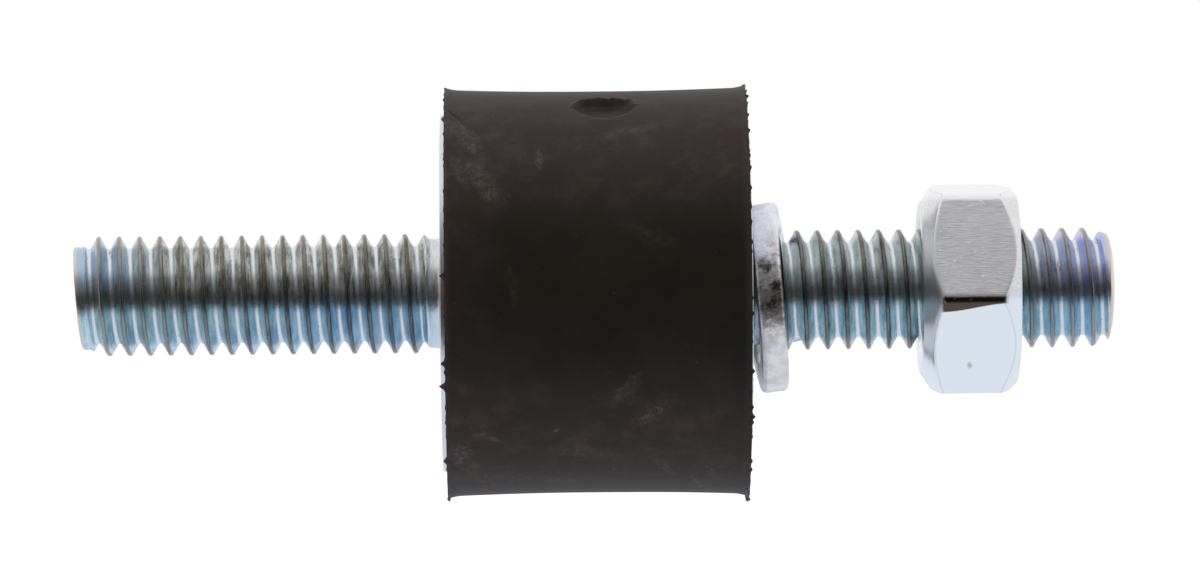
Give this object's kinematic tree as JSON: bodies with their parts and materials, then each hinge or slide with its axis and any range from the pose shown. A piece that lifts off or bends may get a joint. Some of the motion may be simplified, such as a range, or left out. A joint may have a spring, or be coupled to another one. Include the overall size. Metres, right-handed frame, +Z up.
{
  "type": "rubber-metal bobbin vibration mount",
  "caption": "Cylindrical rubber vibration mount with a threaded stud at each end, one carrying a split spring washer and a hexagon nut.",
  "frame": {"origin": "centre of the rubber body, midway between the two bonded plates", "axes": "+X along the studs towards the washer and nut, +Z up, +Y away from the front"},
  "size_m": [0.051, 0.0204, 0.0205],
  "materials": {
    "rubber": "matt moulded natural rubber, dusty",
    "stud_steel": "blue-passivated zinc plate on rolled steel",
    "washer_steel": "zinc-plated spring steel",
    "nut_steel": "bright zinc-plated steel"
  },
  "bodies": {
    "mount": {"rubber_body": "rubber", "left_stud": "stud_steel", "right_stud": "stud_steel", "spring_washer": "washer_steel"},
    "nut": {"hex_nut": "nut_steel"}
  },
  "joints": [
    {"name": "nut_travel", "type": "slide", "parent": "mount", "child": "nut", "axis": [1, 0, 0], "range_m": [-0.005, 0.004]}
  ]
}
